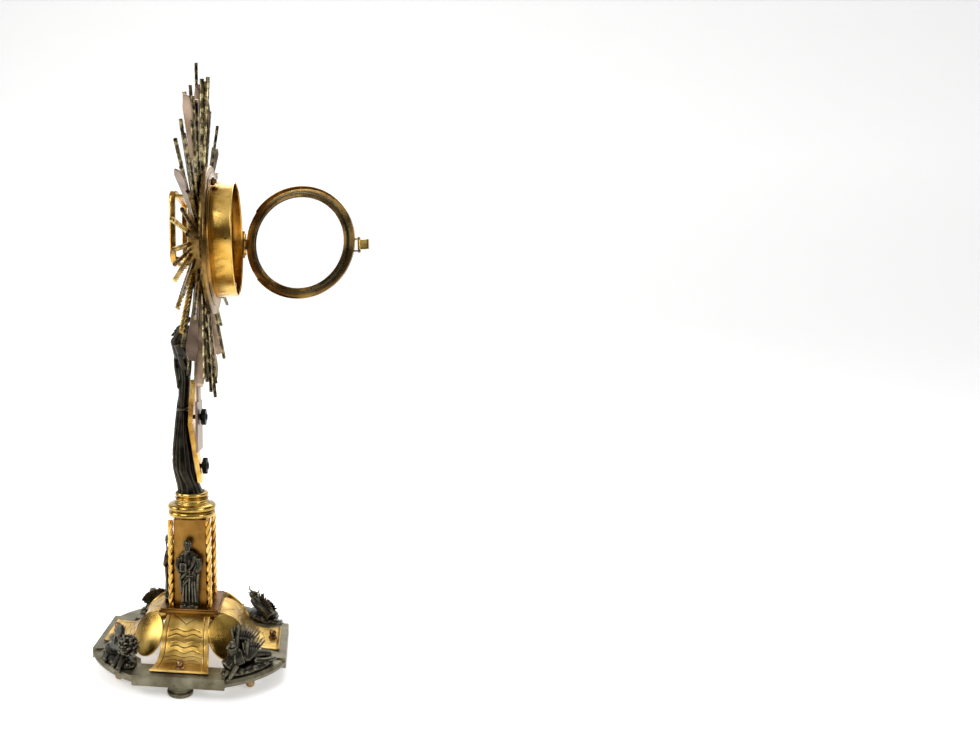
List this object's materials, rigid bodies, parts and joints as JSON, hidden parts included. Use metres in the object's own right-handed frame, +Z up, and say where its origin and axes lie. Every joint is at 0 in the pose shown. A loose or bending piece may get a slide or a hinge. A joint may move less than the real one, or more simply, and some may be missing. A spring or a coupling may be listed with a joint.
{
  "type": "monstrance",
  "caption": "Standing sunburst display vessel: round glazed case with hinged door, carried by a statue on a square column and a four-strap base.",
  "frame": {"origin": "on the ground under the column axis, at the centre of the base", "axes": "+Z up, -Y front, +Y back (the door side), +X the viewer's right from the front"},
  "size_m": [0.2756, 0.255, 0.555],
  "materials": {
    "pewter": "dull grey-olive pewter plate",
    "satin_gilt": "satin gilt, engraved",
    "brass": "polished brass with patina",
    "bright_gilt": "bright gilt",
    "case_gilt": "warm polished gilt",
    "door_brass": "aged brass",
    "dark_bronze": "near-black cast bronze",
    "dark_silver": "blackened silver with bright edges",
    "hammered_nickel": "hammered, olive-grey",
    "smooth_nickel": "smooth tan-grey",
    "clear_glass": "clear"
  },
  "bodies": {
    "root": {"base_bar_front": "pewter", "base_bar_back": "pewter", "base_bar_left": "pewter", "base_bar_right": "pewter", "corner_plates": "pewter", "disc_feet": "pewter", "acorn_nuts": "brass", "symbol_lion": "dark_silver", "symbol_ox": "dark_silver", "symbol_eagle": "dark_silver", "symbol_angel": "dark_silver", "strap_front": "satin_gilt", "strap_back": "satin_gilt", "strap_left": "satin_gilt", "strap_right": "satin_gilt", "strap_screws": "brass", "corner_discs": "satin_gilt", "under_plate": "brass", "collar_plate": "brass", "column_shell": "brass", "rope_rods": "bright_gilt", "relief_front": "dark_silver", "relief_left": "dark_silver", "relief_right": "dark_silver", "cap_lower": "brass", "cap_upper": "brass", "plinth_ring": "brass", "tie_bolt": "pewter", "statue": "dark_bronze", "bracket": "bright_gilt", "stem_plate": "smooth_nickel", "flange_disc": "brass", "ray_collar": "brass", "rays_top": "hammered_nickel", "rays_right": "hammered_nickel", "rays_bottom": "hammered_nickel", "rays_left": "hammered_nickel", "ray_blades": "smooth_nickel", "ray_ropes": "brass", "front_frame": "bright_gilt", "frame_posts": "brass", "front_glass": "clear_glass", "glass_bead": "brass", "step_ring": "brass", "case_drum": "case_gilt", "case_nuts": "brass", "hinge_pin": "brass", "catch_pin": "brass", "lunette_track": "case_gilt"},
    "door": {"door_ring": "door_brass", "door_glass": "clear_glass", "door_bead": "door_brass", "latch_pin": "pewter"},
    "latch": {"latch_lever": "door_brass"},
    "lunette": {"lunette_ring": "case_gilt", "lunette_glasses": "clear_glass", "crescent_clip": "case_gilt"},
    "knob_upper": {"thumb_screw_upper": "dark_bronze"},
    "knob_lower": {"thumb_screw_lower": "dark_bronze"}
  },
  "joints": [
    {"name": "door_hinge", "type": "hinge", "parent": "root", "child": "door", "pos_m": [-0.0575, 0.048, 0.388], "axis": [0, 0, 1], "range_deg": [-74, 36]},
    {"name": "latch_pivot", "type": "hinge", "parent": "door", "child": "latch", "pos_m": [-0.02683, 0.15967, 0.38], "axis": [0, 0, 1], "range_deg": [-90, 20]},
    {"name": "lunette_slide", "type": "slide", "parent": "root", "child": "lunette", "axis": [0, 1, 0], "range_m": [0, 0.035]},
    {"name": "upper_screw_turn", "type": "hinge", "parent": "root", "child": "knob_upper", "pos_m": [0, 0.02, 0.221], "axis": [0, 1, 0], "continuous": true},
    {"name": "lower_screw_turn", "type": "hinge", "parent": "root", "child": "knob_lower", "pos_m": [0, 0.015, 0.1756], "axis": [0, 1, 0], "continuous": true}
  ]
}
